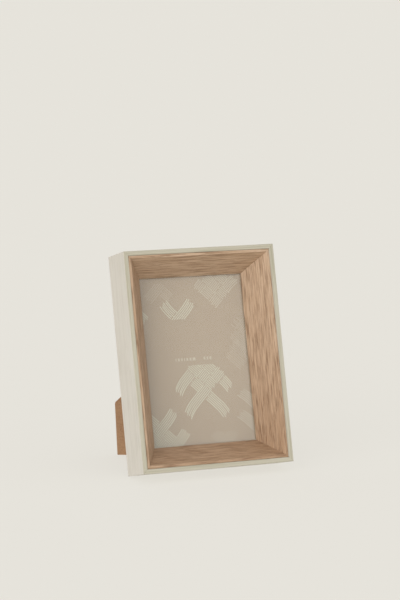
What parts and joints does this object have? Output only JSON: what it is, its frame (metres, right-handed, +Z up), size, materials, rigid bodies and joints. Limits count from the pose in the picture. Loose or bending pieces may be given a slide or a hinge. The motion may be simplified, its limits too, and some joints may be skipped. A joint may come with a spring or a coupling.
{
  "type": "tabletop picture frame",
  "caption": "Deep tabletop picture frame: pale outer box, sloping oak slip, glass, card insert and a diagonal hinged strut that stands it upright or on its side.",
  "frame": {"origin": "centre of the footprint, on the surface the frame stands on", "axes": "+Z up; the picture faces -Y and leans back 14.4 degrees; the open strut stands behind it towards +Y"},
  "size_m": [0.14, 0.1268, 0.1959],
  "materials": {
    "limed_paint": "pale limed paint, matt, grain just showing",
    "oak": "oak, open grain, clear matt lacquer",
    "clear_glass": "clear float glass",
    "printed_card": "matt printed card",
    "hardboard": "brown hardboard, smooth face",
    "zinc_steel": "zinc-plated steel"
  },
  "bodies": {
    "frame": {"outer_rail_bottom": "limed_paint", "outer_rail_left": "limed_paint", "outer_rail_top": "limed_paint", "outer_rail_right": "limed_paint", "inner_slip_bottom": "oak", "inner_slip_left": "oak", "inner_slip_top": "oak", "inner_slip_right": "oak", "glass_pane": "clear_glass", "print_insert": "printed_card", "back_board": "hardboard", "hinge_leaf_board": "zinc_steel", "hinge_pin": "zinc_steel", "board_rivet_1": "zinc_steel", "board_rivet_2": "zinc_steel", "corner_nail_bottom_left": "zinc_steel", "corner_nail_bottom_right": "zinc_steel", "corner_nail_top_left": "zinc_steel", "corner_nail_top_right": "zinc_steel", "button_screw_lower_left": "zinc_steel", "button_screw_lower_right": "zinc_steel", "button_screw_upper_left": "zinc_steel", "button_screw_upper_right": "zinc_steel"},
    "strut": {"strut": "hardboard", "hinge_leaf_strut": "zinc_steel", "strut_rivet_1": "zinc_steel", "strut_rivet_2": "zinc_steel"},
    "button_lower_left": {"turn_button_lower_left": "zinc_steel"},
    "button_lower_right": {"turn_button_lower_right": "zinc_steel"},
    "button_upper_left": {"turn_button_upper_left": "zinc_steel"},
    "button_upper_right": {"turn_button_upper_right": "zinc_steel"}
  },
  "joints": [
    {"name": "strut_hinge", "type": "hinge", "parent": "frame", "child": "strut", "pos_m": [0.033, -0.00265, 0.10068], "axis": [0.7071, -0.1758, -0.6849], "range_deg": [-34.7, 0]},
    {"name": "turn_lower_left", "type": "hinge", "parent": "frame", "child": "button_lower_left", "pos_m": [-0.05865, -0.01769, 0.04776], "axis": [0, 0.9686, -0.2487], "range_deg": [-115, 115]},
    {"name": "turn_lower_right", "type": "hinge", "parent": "frame", "child": "button_lower_right", "pos_m": [0.05865, -0.01769, 0.04776], "axis": [0, 0.9686, -0.2487], "range_deg": [-115, 115]},
    {"name": "turn_upper_left", "type": "hinge", "parent": "frame", "child": "button_upper_left", "pos_m": [-0.05865, 0.00619, 0.14074], "axis": [0, 0.9686, -0.2487], "range_deg": [-115, 115]},
    {"name": "turn_upper_right", "type": "hinge", "parent": "frame", "child": "button_upper_right", "pos_m": [0.05865, 0.00619, 0.14074], "axis": [0, 0.9686, -0.2487], "range_deg": [-115, 115]}
  ]
}
